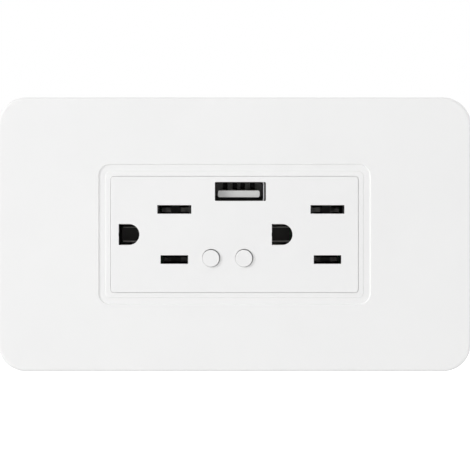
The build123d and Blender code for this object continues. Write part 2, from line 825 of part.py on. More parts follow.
def usb_tongue():
    """The USB port's insulator: a tongue in the shell's lower half on a block notched for the springs."""
    block_w = usb_shell_w - 2 * (usb_sheet + usb_gap)
    block_h = usb_shell_h - 2 * (usb_sheet + usb_gap)
    block = RectangleRounded(block_w, block_h, usb_shell_r - usb_sheet)
    tongue = Pos(0, -usb_tongue_drop) * RectangleRounded(usb_tongue_w, usb_tongue_t, usb_tongue_r)
    solid = slab(Pos(usb_x, usb_z) * block, block_front, control_front)
    half = usb_contact_w / 2 + usb_notch_gap
    for x in SPRINGS:
        notch = span(x - half, x + half, tongue_top, usb_z + usb_shell_h / 2)
        solid -= slab(notch, block_front, control_front)
    return solid + slab(Pos(usb_x, usb_z) * tongue, tongue_front, block_front)


def usb_contacts():
    """The four springs on the tongue's upper side, each with a raised hump, through to the board."""
    front = tongue_front + usb_contact_setback
    reach = block_front - front
    points = [
        (control_front, tongue_top),
        (front + reach / 2, tongue_top),
        (front + reach / 4, tongue_top + usb_contact_rise),
        (front, tongue_top),
    ]
    outline = Polyline(*points, *[(y, z + usb_contact_t) for y, z in reversed(points)], close=True)
    return Compound(children=[across(make_face(outline), x, usb_contact_w) for x in SPRINGS])


def tact_switch(x):
    """One push switch on the control board, with four legs and a well for its plunger."""
    body = RectangleRounded(switch_size, switch_size, switch_edge)
    front = control_front - switch_h
    solid = slab(Pos(x, button_z) * body, front, control_front)
    well = Pos(x, button_z) * Circle(plunger_r + plunger_gap)
    depth = plunger_sink + button_travel + plunger_spare
    solid -= slab(well, front, front + depth)
    return solid + slab(switch_legs(x, lead_r), control_front, control_back)


def switch_plunger(x):
    """The moving plunger of one switch."""
    return slab(Pos(x, button_z) * Circle(plunger_r), stem_end, control_front - switch_h + plunger_sink)


def button_cap(x):
    """One button: a round cap through the face, a flange behind it and a stem."""
    place = Pos(x, button_z)
    cap = slab(place * Circle(button_r), face_front - button_proud, flange_front)
    cap = fillet(cap.faces().sort_by(Axis.Y)[0].edges(), button_edge)
    cap += slab(place * Circle(button_flange_r), flange_front, flange_back)
    return cap + slab(place * Circle(button_stem_r), flange_back, stem_end)


def wifi_board():
    """The radio module's own board, flat on the back of the control board."""
    middle = (mid_left + mid_right) / 2
    return slab(Pos(middle, wifi_z) * Rectangle(wifi_w, wifi_h), control_back, control_back + wifi_t)


def wifi_shield():
    """The metal can over the radio module."""
    middle = (mid_left + mid_right) / 2
    can = Pos(middle, wifi_z) * RectangleRounded(shield_w, shield_h, shield_edge)
    return slab(can, control_back + wifi_t, control_back + wifi_t + shield_t)


def relay(name):
    """A sealed relay on the main board, against the upper or the lower wall."""
    x, z = LEADS[name][:2]
    case = rounded(Pos(x, z) * Rectangle(relay_l, relay_w), board_back, board_back + relay_h, relay_edge)
    return case + leads(name)


def transformer_core():
    """The ferrite core: outer legs, a middle leg and two yokes."""
    front = board_back + bobbin_foot_t
    window_w = (ferrite_w - ferrite_mid) / 2 - ferrite_leg
    core = slab(Rectangle(ferrite_w, ferrite_t), front, front + ferrite_d)
    for side in (-1, 1):
        place = Pos(side * (ferrite_mid + window_w) / 2, 0)
        window = place * Rectangle(window_w, ferrite_t)
        core -= slab(window, front + ferrite_yoke, front + ferrite_d - ferrite_yoke)
    return Pos(transformer_x, 0, transformer_z) * core


def transformer_coil():
    """The wound bobbin round the middle leg, on a foot that stands on the board."""
    foot_back = board_back + bobbin_foot_t
    coil_front = foot_back + ferrite_yoke + coil_gap
    coil_back = foot_back + ferrite_d - ferrite_yoke - coil_gap
    coil_w = ferrite_w - 2 * (ferrite_leg + coil_gap)
    coil = slab(RectangleRounded(coil_w, 2 * coil_half, can_edge), coil_front, coil_back)
    coil -= slab(Rectangle(ferrite_mid + 2 * coil_gap, ferrite_t + 2 * coil_gap), coil_front, coil_back)
    coil += slab(Rectangle(bobbin_foot_w, 2 * bobbin_foot_half), board_back, foot_back)
    for side in (-1, 1):
        post = span(-coil_w / 2, coil_w / 2, bobbin_post_half, coil_half)
        solid = slab(post, foot_back, coil_front)
        coil += solid if side > 0 else mirror(solid, about=Plane.XY)
    return Pos(transformer_x, 0, transformer_z) * coil + leads("transformer")


def can_capacitor(name, radius, height):
    """A round capacitor standing on the board near the right wall, rolled in near its foot."""
    x, z = LEADS[name][:2]
    profile = Polyline(
        (0, 0),
        (radius, 0),
        (radius, can_groove_at - can_groove),
        (radius - can_groove, can_groove_at),
        (radius, can_groove_at + can_groove),
        (radius, height - can_edge),
        (radius - can_edge, height),
        (0, height),
        close=True,
    )
    can = revolve(make_face(profile), axis=Axis.Y)
    return Pos(x, board_back, z) * can + leads(name)


def film_capacitor():
    """The boxed film capacitor across the mains."""
    outline = Pos(film_x, film_z) * Rectangle(film_l, film_t)
    return rounded(outline, board_back, board_back + film_h, film_edge) + leads("film")


def fuse():
    """The boxed fuse in the line conductor."""
    outline = Pos(fuse_x, fuse_z) * Rectangle(fuse_l, fuse_t)
    return rounded(outline, board_back, board_back + fuse_h, fuse_edge) + leads("fuse")


def varistor():
    """The disc that takes surges, standing on its edge, with leads that run up into it."""
    disc = Cylinder(varistor_r, varistor_t)
    disc = chamfer(disc.edges().filter_by(GeomType.CIRCLE), varistor_edge)
    middle = board_back + varistor_r
    return Pos(varistor_x, middle, varistor_z) * disc + leads("varistor", middle)


def inductor():
    """A drum inductor: a wound waist between two flanges."""
    top = inductor_h - inductor_flange
    waist = inductor_r - inductor_waist
    profile = Polyline(
        (0, 0),
        (inductor_r, 0),
        (inductor_r, inductor_flange),
        (waist, inductor_flange),
        (waist, top),
        (inductor_r, top),
        (inductor_r, inductor_h),
        (0, inductor_h),
        close=True,
    )
    drum = revolve(make_face(profile), axis=Axis.Y)
    return Pos(inductor_x, board_back, inductor_z) * drum + leads("inductor")


def bridge_rectifier():
    """The flat bridge rectifier on the main board."""
    body = Pos(bridge_x, bridge_z) * Rectangle(bridge_l, bridge_w)
    return slab(body, board_back, board_back + bridge_h) + leads("bridge")


nodes = {
    "wall_plate": wall_plate(),
    "snap_frame": snap_frame(),
    "mounting_strap": mounting_strap(),
    "face_cover": face_cover(),
    "rear_housing": rear_housing(),
    "neutral_bus": neutral_bus(),
    "ground_bus": ground_bus(),
    "line_terminal": line_terminal(),
    "clamp_plates": Compound(children=[terminal_seat(name) * clamp_plate() for name in TERMINALS]),
    "case_screws": case_screws(),
    "frame_screws": frame_screws(),
    "board_screws": board_screws(),
    "main_board": main_board(),
    "control_board": control_board(),
    "header_strip": header_strip(),
    "header_pins": header_pin_row(),
    "usb_shell": usb_shell(),
    "usb_tongue": usb_tongue(),
    "usb_contacts": usb_contacts(),
    "wifi_board": wifi_board(),
    "wifi_shield": wifi_shield(),
    "relay_upper": relay("relay_upper"),
    "relay_lower": relay("relay_lower"),
    "transformer_core": transformer_core(),
    "transformer_coil": transformer_coil(),
    "bulk_capacitor": can_capacitor("bulk", bulk_r, bulk_h),
    "output_capacitor": can_capacitor("output", output_r, output_h),
    "film_capacitor": film_capacitor(),
    "fuse": fuse(),
    "varistor": varistor(),
    "inductor": inductor(),
    "bridge_rectifier": bridge_rectifier(),
}
for name in TERMINALS:
    nodes[f"{name}_screw"] = terminal_seat(name) * terminal_screw()
for side, column in COLUMNS.items():
    nodes[f"socket_core_{side}"] = socket_core(column)
    nodes[f"hot_contact_{side}"] = hot_contact(column)
for side, x in BUTTONS.items():
    nodes[f"button_{side}"] = button_cap(x)
    nodes[f"switch_plunger_{side}"] = switch_plunger(x)
    nodes[f"tact_switch_{side}"] = tact_switch(x)

os.makedirs("parts", exist_ok=True)
for name, solid in nodes.items():
    export_step(solid, f"parts/{name}.step")
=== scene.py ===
"""Looks of a smart wall outlet: finishes for every piece, real screw heads and a plain white studio.

The frame is the outlet's own, in metres: X runs to the right along the plate, Z up and Y into the
wall. Sizes in the classes are in millimetres, as a maker would write them, and MM makes them metres.
"""

import logging
import math
from abc import ABC, abstractmethod
from dataclasses import dataclass, field, replace
from enum import Enum
from typing import Iterable

import bmesh
import bpy
from mathutils import Matrix, Vector

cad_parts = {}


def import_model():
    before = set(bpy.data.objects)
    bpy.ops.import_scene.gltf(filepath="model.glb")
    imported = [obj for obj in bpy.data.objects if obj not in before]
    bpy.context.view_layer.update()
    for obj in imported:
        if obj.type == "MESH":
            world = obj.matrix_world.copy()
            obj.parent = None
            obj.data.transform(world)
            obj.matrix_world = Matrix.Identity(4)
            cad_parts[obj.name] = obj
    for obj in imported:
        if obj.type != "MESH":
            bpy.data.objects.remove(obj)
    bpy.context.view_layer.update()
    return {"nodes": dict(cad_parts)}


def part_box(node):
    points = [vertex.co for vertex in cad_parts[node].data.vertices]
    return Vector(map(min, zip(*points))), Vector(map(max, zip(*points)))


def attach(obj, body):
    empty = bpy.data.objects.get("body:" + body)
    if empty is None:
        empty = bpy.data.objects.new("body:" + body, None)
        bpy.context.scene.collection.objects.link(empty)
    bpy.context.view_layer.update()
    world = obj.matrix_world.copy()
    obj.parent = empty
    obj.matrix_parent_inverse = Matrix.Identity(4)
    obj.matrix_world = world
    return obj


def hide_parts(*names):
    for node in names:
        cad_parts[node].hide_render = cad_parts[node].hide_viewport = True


MM = 0.001
OUTLET = "outlet"
# Points of a new mesh that lie closer than this are merged, in metres.
WELD = 1e-6
# Points this close to a cutting plane count as lying on it, in metres.
CUT = 1e-8
# How far a mask's soft edge reaches to both sides, as a share of the mask's own reach.
SOFT_EDGE = 0.2
# How many bands Blender's wave texture has in one metre at a scale of 1.
WAVE_BANDS = 3.18
Pair = tuple[float, float]
Triple = tuple[float, float, float]
Colour = Triple
Socket = bpy.types.NodeSocket
log = logging.getLogger("wall_outlet")


class Recess(Enum):
    """The drive cut into a screw's head."""

    CROSS = "cross"
    COMBINED = "combined"


class NodeSheet:
    """The node tree of one material, with short calls that add what the finishes need."""

    def __init__(self, name: str) -> None:
        """Starts a material that has only its output and one principled shader.

        Args:
            name: The material's name.
        """
        self.material = bpy.data.materials.new(name)
        self.material.use_nodes = True
        self.tree = self.material.node_tree
        self.shader = self.tree.nodes["Principled BSDF"]
        self.place = self.add("ShaderNodeTexCoord").outputs["Object"]

    def add(self, kind: str, **settings: object) -> bpy.types.Node:
        """Adds a node.

        Args:
            kind: Blender's name of the node.
            settings: Properties to set on it.

        Returns:
            The new node.
        """
        node = self.tree.nodes.new(kind)
        for key, value in settings.items():
            setattr(node, key, value)
        return node

    def link(self, start: Socket, end: Socket) -> None:
        """Joins an output to an input."""
        self.tree.links.new(start, end)

    def spread(self, stretch: Triple, turn: Triple = (0.0, 0.0, 0.0)) -> Socket:
        """Stretches and turns the piece's own coordinates.

        Args:
            stretch: Factors along X, Y and Z.
            turn: Angles about X, Y and Z in degrees.

        Returns:
            The changed coordinates.
        """
        mapping = self.add("ShaderNodeMapping")
        mapping.inputs["Scale"].default_value = stretch
        mapping.inputs["Rotation"].default_value = [math.radians(angle) for angle in turn]
        self.link(self.place, mapping.inputs["Vector"])
        return mapping.outputs["Vector"]

    def noise(self, place: Socket, size: float, detail: float = 3.0) -> Socket:
        """Adds cloudy noise.

        Args:
            place: The coordinates that it reads.
            size: Width of one cloud in millimetres.
            detail: How many finer layers lie on it.

        Returns:
            The noise, from 0 to 1.
        """
        node = self.add("ShaderNodeTexNoise")
        node.inputs["Scale"].default_value = 1.0 / (size * MM)
        node.inputs["Detail"].default_value = detail
        self.link(place, node.inputs["Vector"])
        return node.outputs["Fac"]

    def coordinate(self, axis: str) -> Socket:
        """Takes one of the piece's own coordinates.

        Args:
            axis: The axis, X, Y or Z.

        Returns:
            The place along it, in metres.
        """
        parts = self.add("ShaderNodeSeparateXYZ")
        self.link(self.place, parts.inputs["Vector"])
        return parts.outputs[axis]

    def ramp(self, value: Socket, limits: Pair, ends: Pair = (0.0, 1.0)) -> Socket:
        """Spreads the part of a value between two limits over a new range, with soft ends.

        Args:
            value: What is spread.
            limits: The two limits.
            ends: What the result is at each of them.

        Returns:
            The spread value.
        """
        node = self.add("ShaderNodeMapRange", interpolation_type="SMOOTHSTEP")
        node.inputs["From Min"].default_value = limits[0]
        node.inputs["From Max"].default_value = limits[1]
        node.inputs["To Min"].default_value = ends[0]
        node.inputs["To Max"].default_value = ends[1]
        self.link(value, node.inputs["Value"])
        return node.outputs["Result"]

    def inward(self, start: float, end: float) -> Socket:
        """Spreads a stretch of the way into the wall over 0 to 1, with soft ends.

        Args:
            start: Where along Y the result is 0, in millimetres.
            end: Where the result is 1, behind the start or before it.

        Returns:
            The spread depth.
        """
        return self.ramp(self.coordinate("Y"), (start * MM, end * MM))

    def beside(self, axis: str, middle: float, reach: float, ends: Pair = (0.0, 1.0)) -> Socket:
        """Makes a mask that has one value near a place along an axis and another away from it.

        Args:
            axis: The axis, X, Y or Z.
            middle: The place, in millimetres.
            reach: How far from it the mask's soft edge lies, in millimetres.
            ends: The values near the place and away from it.

        Returns:
            The mask.
        """
        offset = self.add("ShaderNodeMath", operation="SUBTRACT")
        offset.inputs[1].default_value = middle * MM
        self.link(self.coordinate(axis), offset.inputs[0])
        distance = self.add("ShaderNodeMath", operation="ABSOLUTE")
        self.link(offset.outputs["Value"], distance.inputs[0])
        edge = ((1.0 - SOFT_EDGE) * reach * MM, (1.0 + SOFT_EDGE) * reach * MM)
        return self.ramp(distance.outputs["Value"], edge, ends)

    def join(self, first: Socket, second: Socket, how: str) -> Socket:
        """Combines two values.

        Args:
            first: One value.
            second: The other value.
            how: Blender's name of the operation.

        Returns:
            The combined value.
        """
        node = self.add("ShaderNodeMath", operation=how, use_clamp=True)
        self.link(first, node.inputs[0])
        self.link(second, node.inputs[1])
        return node.outputs["Value"]

    def tint(self, mask: Socket, tone: Colour, second: Colour) -> None:
        """Colours the surface with one tone, and another where the mask is high.

        Args:
            mask: Where the second tone lies.
            tone: The main colour.
            second: The other colour.
        """
        mix = self.add("ShaderNodeMix", data_type="RGBA")
        mix.inputs["A"].default_value = (*tone, 1.0)
        mix.inputs["B"].default_value = (*second, 1.0)
        self.link(mask, mix.inputs["Factor"])
        self.link(mix.outputs["Result"], self.shader.inputs["Base Color"])

    def roughen(self, mask: Socket, smoothest: float, roughest: float) -> None:
        """Varies the roughness between two limits.

        Args:
            mask: Where the surface is rougher.
            smoothest: Roughness where the mask is 0.
            roughest: Roughness where the mask is 1.
        """
        node = self.add("ShaderNodeMapRange")
        node.inputs["To Min"].default_value = smoothest
        node.inputs["To Max"].default_value = roughest
        self.link(mask, node.inputs["Value"])
        self.link(node.outputs["Result"], self.shader.inputs["Roughness"])

    def raise_by(self, height: Socket, depth: float) -> None:
        """Gives the surface relief.

        Args:
            height: The relief's shape, from 0 to 1.
            depth: Its depth in millimetres.
        """
        bump = self.add("ShaderNodeBump")
        bump.inputs["Distance"].default_value = depth * MM
        self.link(height, bump.inputs["Height"])
        self.link(bump.outputs["Normal"], self.shader.inputs["Normal"])


@dataclass(frozen=True)
class Finish(ABC):
    """A surface finish: two tones in a pattern, a range of roughness and a fine grain.

    Attributes:
        name: The material's name.
        tone: The main colour.
        second: The colour in the pattern.
        patch: Width of one patch of the pattern in millimetres.
        smoothest: Lowest roughness.
        roughest: Highest roughness.
        grain: Width of the finest grain in millimetres.
        relief: Depth of that grain in millimetres.
        metallic: 1 for bare metal, 0 for the rest.
        coat: Strength of a clear coat.
        limits: Values of the pattern's texture at which the second tone starts and is full.
    """

    name: str
    tone: Colour
    second: Colour
    patch: float
    smoothest: float = 0.32
    roughest: float = 0.46
    grain: float = 0.25
    relief: float = 0.004
    metallic: float = 0.0
    coat: float = 0.0
    limits: Pair = (0.3, 0.7)

    @abstractmethod
    def pattern(self, sheet: NodeSheet) -> Socket:
        """Makes the pattern.

        Args:
            sheet: Where the nodes go.

        Returns:
            The mask of the second tone.
        """

    def height(self, sheet: NodeSheet) -> Socket:
        """Makes the shape of the relief, a fine even grain unless a finish says otherwise."""
        return sheet.noise(sheet.place, self.grain, detail=2.0)

    def material(self) -> bpy.types.Material:
        """Makes the material.

        Returns:
            A new material with this finish.
        """
        sheet = NodeSheet(self.name)
        mask = self.pattern(sheet)
        sheet.tint(mask, self.tone, self.second)
        sheet.roughen(mask, self.smoothest, self.roughest)
        sheet.raise_by(self.height(sheet), self.relief)
        sheet.shader.inputs["Metallic"].default_value = self.metallic
        sheet.shader.inputs["Coat Weight"].default_value = self.coat
        sheet.material.diffuse_color = (*self.tone, 1.0)
        return sheet.material


@dataclass(frozen=True)
class MouldedPlastic(Finish):
    """Moulded plastic: almost even, with faint clouds where the melt cooled."""

    def pattern(self, sheet: NodeSheet) -> Socket:
        """Makes soft clouds."""
        return sheet.ramp(sheet.noise(sheet.place, self.patch), self.limits)


@dataclass(frozen=True)
class PortPlastic(MouldedPlastic):
    """A USB port's insulator: a pale tongue, and behind it a block in painted shade, darkest at its
    foot.

    Attributes:
        start: Where along Y the block starts, in millimetres.
        reach: How far the pale tone and the painted shade run into each other, in millimetres.
        block_shade: Share of the second tone in the block, which is painted shade.
        foot: Height under which the block's painted shade is darkest, in millimetres.
    """

    start: float = 0.0
    reach: float = 0.3
    block_shade: float = 0.52
    foot: float = 0.0

    def pattern(self, sheet: NodeSheet) -> Socket:
        """Makes the block's painted shade, darkest at its foot.

        Args:
            sheet: Where the nodes go.

        Returns:
            The mask of the second tone.
        """
        # painted shade: darkest under the foot, a mid tone above it, and only in the block behind the
        # tongue
        foot = (self.foot * MM, (self.foot + self.reach) * MM)
        tone = sheet.ramp(sheet.coordinate("Z"), foot, (1.0, self.block_shade))
        block = sheet.inward(self.start, self.start + self.reach)
        return sheet.join(tone, block, "MULTIPLY")


@dataclass(frozen=True)
class Plated(Finish):
    """A thin plating on turned metal: fine clouds of two tones."""

    limits: Pair = (0.35, 0.65)

    def pattern(self, sheet: NodeSheet) -> Socket:
        """Makes fine clouds."""
        return sheet.ramp(sheet.noise(sheet.place, self.patch, detail=5.0), self.limits)


@dataclass(frozen=True)
class RolledSheet(Finish):
    """Rolled or plated metal: thin streaks along the strip, over cloudy patches.

    Attributes:
        along: Factors that stretch the streaks; the strip runs where the factor is small.
        clouds: Values of the patches' noise at which the second tone starts and is full.
    """

    limits: Pair = (0.35, 0.65)
    along: Triple = (0.06, 1.0, 1.0)
    clouds: Pair = (0.35, 0.7)

    def pattern(self, sheet: NodeSheet) -> Socket:
        """Makes streaks mixed with clouds.

        Args:
            sheet: Where the nodes go.

        Returns:
            The mask of the second tone.
        """
        streaks = sheet.ramp(sheet.noise(sheet.spread(self.along), self.grain), self.limits)
        clouds = sheet.ramp(sheet.noise(sheet.place, self.patch), self.clouds)
        return sheet.join(streaks, clouds, "MULTIPLY")

    def height(self, sheet: NodeSheet) -> Socket:
        """Makes the streaks stand as fine lines."""
        return sheet.noise(sheet.spread(self.along), self.grain, detail=2.0)


@dataclass(frozen=True)
class DepthShadedSheet(RolledSheet):
    """Sheet metal in two tones along the way into the wall, the darker one painted shade.

    Attributes:
        start: Where along Y the main tone ends, in millimetres.
        reach: How far behind that the second tone is reached, in millimetres.
    """

    start: float = 0.0
    reach: float = 0.4

    def pattern(self, sheet: NodeSheet) -> Socket:
        """Makes the part that lies deeper."""
        return sheet.inward(self.start, self.start + self.reach)


@dataclass(frozen=True)
class RubbedShadedSheet(DepthShadedSheet):
    """Spring sheet, bright at its mouth where plugs rub it and deep inside, in painted shade between.

    Attributes:
        mouth: Where along Y the rubbed mouth starts, in millimetres.
        rub: Its length, in millimetres.
        wear_and_glint: How bright patches of wear and painted glints are, as a share of the second tone.
        columns: Places along X of the slits that part the leaves, in millimetres.
        slit: Half the width of such a slit, in millimetres.
        streaks: Heights of painted highlight streaks, where the spring's edges catch light, in
            millimetres.
        streak: Half the width of such a streak, in millimetres.
        glint_strength: How bright those painted highlights are, as a share of the second tone.
    """

    limits: Pair = (0.3, 0.55)
    mouth: float = 0.0
    rub: float = 3.0
    wear_and_glint: float = 0.0
    columns: tuple[float, ...] = ()
    slit: float = 1.3
    streaks: tuple[float, ...] = ()
    streak: float = 0.22
    glint_strength: float = 0.35

    def pattern(self, sheet: NodeSheet) -> Socket:
        """Makes the rubbed mouth, the painted glints and the deeper part; the rest keeps the painted
        shade.

        Args:
            sheet: Where the nodes go.

        Returns:
            The mask of the second tone.
        """
        deep = super().pattern(sheet)
        rubbed = sheet.inward(self.mouth + self.rub, self.mouth)
        # patches: partly wear, partly painted glints where light falls on the leaves' curves
        clouds = sheet.noise(sheet.place, self.patch, detail=1.0)
        patches = sheet.ramp(clouds, self.limits, (0.0, self.wear_and_glint))
        for column in self.columns:
            patches = sheet.join(patches, sheet.beside("X", column, self.slit), "MULTIPLY")
        bright = sheet.join(sheet.join(rubbed, deep, "MAXIMUM"), patches, "MAXIMUM")
        # painted highlights: streaks where the spring's edges catch light
        for height in self.streaks:
            line = sheet.beside("Z", height, self.streak, (self.glint_strength, 0.0))
            bright = sheet.join(bright, line, "MAXIMUM")
        return bright


@dataclass(frozen=True)
class Sintered(Finish):
    """Pressed and fired powder: sharp grains of two tones."""

    limits: Pair = (0.1, 0.6)

    def pattern(self, sheet: NodeSheet) -> Socket:
        """Makes grains with clear edges.

        Args:
            sheet: Where the nodes go.

        Returns:
            The mask of the second tone.
        """
        grains = sheet.add("ShaderNodeTexVoronoi")
        grains.inputs["Scale"].default_value = 1.0 / (self.patch * MM)
        sheet.link(sheet.place, grains.inputs["Vector"])
        return sheet.ramp(grains.outputs["Distance"], self.limits)


@dataclass(frozen=True)
class PrintedBoard(Finish):
    """A printed board: tracks show as a lighter tone under the lacquer.

    Attributes:
        track: Share of the board that tracks cover, from 0 to 1.
        band: Half the way from one track to the next, as a share of a patch.
        edge: Half the width of a track's soft edge, likewise.
    """

    track: float = 0.4
    band: float = 0.16
    edge: float = 0.012

    def pattern(self, sheet: NodeSheet) -> Socket:
        """Makes bent tracks with straight runs.

        Args:
            sheet: Where the nodes go.

        Returns:
            The mask of the second tone.
        """
        cells = sheet.add("ShaderNodeTexVoronoi", distance="MANHATTAN")
        cells.inputs["Scale"].default_value = 1.0 / (self.patch * MM)
        sheet.link(sheet.place, cells.inputs["Vector"])
        bands = sheet.add("ShaderNodeMath", operation="PINGPONG")
        bands.inputs[1].default_value = self.band
        sheet.link(cells.outputs["Distance"], bands.inputs[0])
        start = self.band * (1.0 - self.track)
        return sheet.ramp(bands.outputs["Value"], (start - self.edge, start + self.edge))

    def height(self, sheet: NodeSheet) -> Socket:
        """Lifts the lacquer over the tracks."""
        return self.pattern(sheet)


@dataclass(frozen=True)
class Winding(Finish):
    """Turns of tape, wire or sleeve: bands along one axis.

    Attributes:
        turn: Angles in degrees that turn the bands' axis away from X.
        waver: How unevenly the bands run.
    """

    limits: Pair = (0.1, 0.9)
    turn: Triple = (0.0, 0.0, 90.0)
    waver: float = 0.4

    def pattern(self, sheet: NodeSheet) -> Socket:
        """Makes even bands.

        Args:
            sheet: Where the nodes go.

        Returns:
            The mask of the second tone.
        """
        wave = sheet.add("ShaderNodeTexWave", wave_type="BANDS", bands_direction="X")
        wave.inputs["Scale"].default_value = 1.0 / (self.patch * MM) / WAVE_BANDS
        wave.inputs["Distortion"].default_value = self.waver
        sheet.link(sheet.spread((1.0, 1.0, 1.0), self.turn), wave.inputs["Vector"])
        return sheet.ramp(wave.outputs["Fac"], self.limits)

    def height(self, sheet: NodeSheet) -> Socket:
        """Lifts each turn."""
        return self.pattern(sheet)


# Each finish gives its name, its two tones and its patch, then its range of roughness, and its grain,
# relief, metallic share and coat where they differ from the usual ones.
PLATE_WHITE = MouldedPlastic(
    "plate_white", (0.885, 0.885, 0.882), (0.874, 0.874, 0.872), 24.0, 0.58, 0.66
)
FACE_WHITE = MouldedPlastic(
    "face_white", (0.880, 0.880, 0.878), (0.870, 0.870, 0.869), 18.0, 0.58, 0.66
)
BUTTON_WHITE = MouldedPlastic(
    "button_white", (0.862, 0.862, 0.860), (0.854, 0.854, 0.852), 6.0, 0.50, 0.58
)
FRAME_WHITE = MouldedPlastic(
    "frame_white", (0.80, 0.80, 0.79), (0.775, 0.775, 0.765), 14.0, 0.45, 0.58
)
HOUSING_GREY = MouldedPlastic(
    "housing_grey", (0.585, 0.585, 0.57), (0.568, 0.568, 0.554), 7.0, 0.46, 0.60, 0.35, 0.02
)
CORE_BLACK = MouldedPlastic(
    "core_black", (0.010, 0.010, 0.011), (0.016, 0.016, 0.017), 5.0, 0.5, 0.65
)
SWITCH_BLACK = MouldedPlastic(
    "switch_black", (0.03, 0.03, 0.032), (0.045, 0.045, 0.046), 3.0, 0.35, 0.5
)
# Its second tone, near black, is painted shade on the block deep in the port.
TONGUE_WHITE = PortPlastic(
    "tongue_white", (0.66, 0.66, 0.65), (0.05, 0.05, 0.049), 4.0, 0.42, 0.5
)
RELAY_BLACK = MouldedPlastic(
    "relay_black", (0.022, 0.022, 0.026), (0.034, 0.034, 0.037), 7.0, 0.3, 0.42
)
FILM_YELLOW = MouldedPlastic(
    "film_yellow", (0.62, 0.42, 0.05), (0.55, 0.36, 0.04), 5.0, 0.25, 0.38
)
FUSE_BROWN = MouldedPlastic(
    "fuse_brown", (0.06, 0.035, 0.02), (0.085, 0.05, 0.03), 4.0, 0.28, 0.4
)
DIPPED_BLUE = MouldedPlastic(
    "dipped_blue", (0.02, 0.07, 0.28), (0.03, 0.1, 0.36), 3.0, 0.2, 0.34, 0.8, 0.02
)
EPOXY_BLACK = Sintered(
    "epoxy_black", (0.02, 0.02, 0.02), (0.04, 0.04, 0.04), 0.3, 0.5, 0.7
)
FERRITE_GREY = Sintered(
    "ferrite_grey", (0.045, 0.045, 0.048), (0.09, 0.09, 0.095), 0.35, 0.45, 0.7
)
ZINC_SHEET = RolledSheet(
    "zinc_sheet", (0.58, 0.585, 0.59), (0.51, 0.515, 0.52), 9.0, 0.30, 0.42, 0.8, 0.003, 1.0
)
ZINC_SCREW = Plated(
    "zinc_screw", (0.60, 0.61, 0.62), (0.53, 0.54, 0.555), 0.9, 0.27, 0.36, 0.12, 0.002, 1.0
)
NICKEL_SCREW = Plated(
    "nickel_screw", (0.66, 0.64, 0.60), (0.59, 0.57, 0.53), 0.9, 0.22, 0.31, 0.12, 0.002, 1.0
)
BRASS_SCREW = Plated(
    "brass_screw", (0.66, 0.44, 0.15), (0.54, 0.35, 0.11), 0.9, 0.22, 0.33, 0.12, 0.002, 1.0
)
GREEN_SCREW = Plated(
    "green_screw", (0.02, 0.2, 0.07), (0.016, 0.155, 0.055), 0.9, 0.27, 0.38, 0.12, 0.002, 0.6, 0.3
)
TERMINAL_BRASS = RolledSheet(
    "terminal_brass", (0.66, 0.46, 0.18), (0.5, 0.34, 0.12), 5.0, 0.24, 0.42, 0.4, 0.003, 1.0
)
# These three springs' near-black main tones are painted shade in the sockets' slots; the second tones
# are the bare metal.
TINNED_BRONZE = RubbedShadedSheet(
    "tinned_bronze", (0.05, 0.049, 0.0475), (0.56, 0.545, 0.515), 3.0, 0.44, 0.34, 0.4, 0.003, 1.0
)
EARTH_BRONZE = replace(TINNED_BRONZE, name="earth_bronze", tone=(0.034, 0.0333, 0.0323), glint_strength=0.5)
CONTACT_TIN = RubbedShadedSheet(
    "contact_tin", (0.05, 0.05, 0.0485), (0.58, 0.57, 0.55), 3.0, 0.44, 0.32, 0.4, 0.003, 1.0
)
# Its second tone is painted shade, darkening the shell's inside into the depth.
PORT_STEEL = DepthShadedSheet(
    "port_steel", (0.43, 0.43, 0.437), (0.09, 0.09, 0.094), 4.0, 0.34, 0.5, 0.3, 0.002, 1.0
)
SHIELD_TIN = RolledSheet(
    "shield_tin", (0.66, 0.66, 0.67), (0.55, 0.55, 0.56), 4.0, 0.2, 0.34, 0.3, 0.002, 1.0
)
# Near black all over: painted shade on the port's contacts deep in the shell.
PORT_SPRING = RolledSheet(
    "port_spring", (0.03, 0.028, 0.024), (0.02, 0.0185, 0.016), 2.0, 0.36, 0.48, 0.3, 0.002, 1.0
)
GOLD_FLASH = RolledSheet(
    "gold_flash", (0.78, 0.56, 0.24), (0.66, 0.46, 0.18), 2.0, 0.18, 0.3, 0.3, 0.002, 1.0
)
BOARD_GREEN = PrintedBoard(
    "board_green", (0.012, 0.09, 0.03), (0.03, 0.17, 0.055), 6.0, 0.25, 0.36, 0.3, 0.02
)
BOARD_BLACK = PrintedBoard(
    "board_black", (0.006, 0.006, 0.007), (0.012, 0.012, 0.013), 6.0, 0.5, 0.6, 0.3, 0.02
)
BOARD_BLUE = PrintedBoard(
    "board_blue", (0.008, 0.02, 0.06), (0.02, 0.045, 0.12), 4.0, 0.25, 0.36, 0.3, 0.02
)
COIL_TAPE = Winding(
    "coil_tape", (0.62, 0.42, 0.05), (0.52, 0.34, 0.035), 2.2, 0.3, 0.45, 0.3, 0.05
)
CAN_SLEEVE = Winding(
    "can_sleeve", (0.02, 0.022, 0.04), (0.03, 0.033, 0.055), 5.0, 0.24, 0.36, 0.3, 0.01
)
COPPER_TURNS = Winding(
    "copper_turns", (0.05, 0.05, 0.05), (0.3, 0.12, 0.04), 0.5, 0.25, 0.4, 0.3, 0.08, 0.5
)


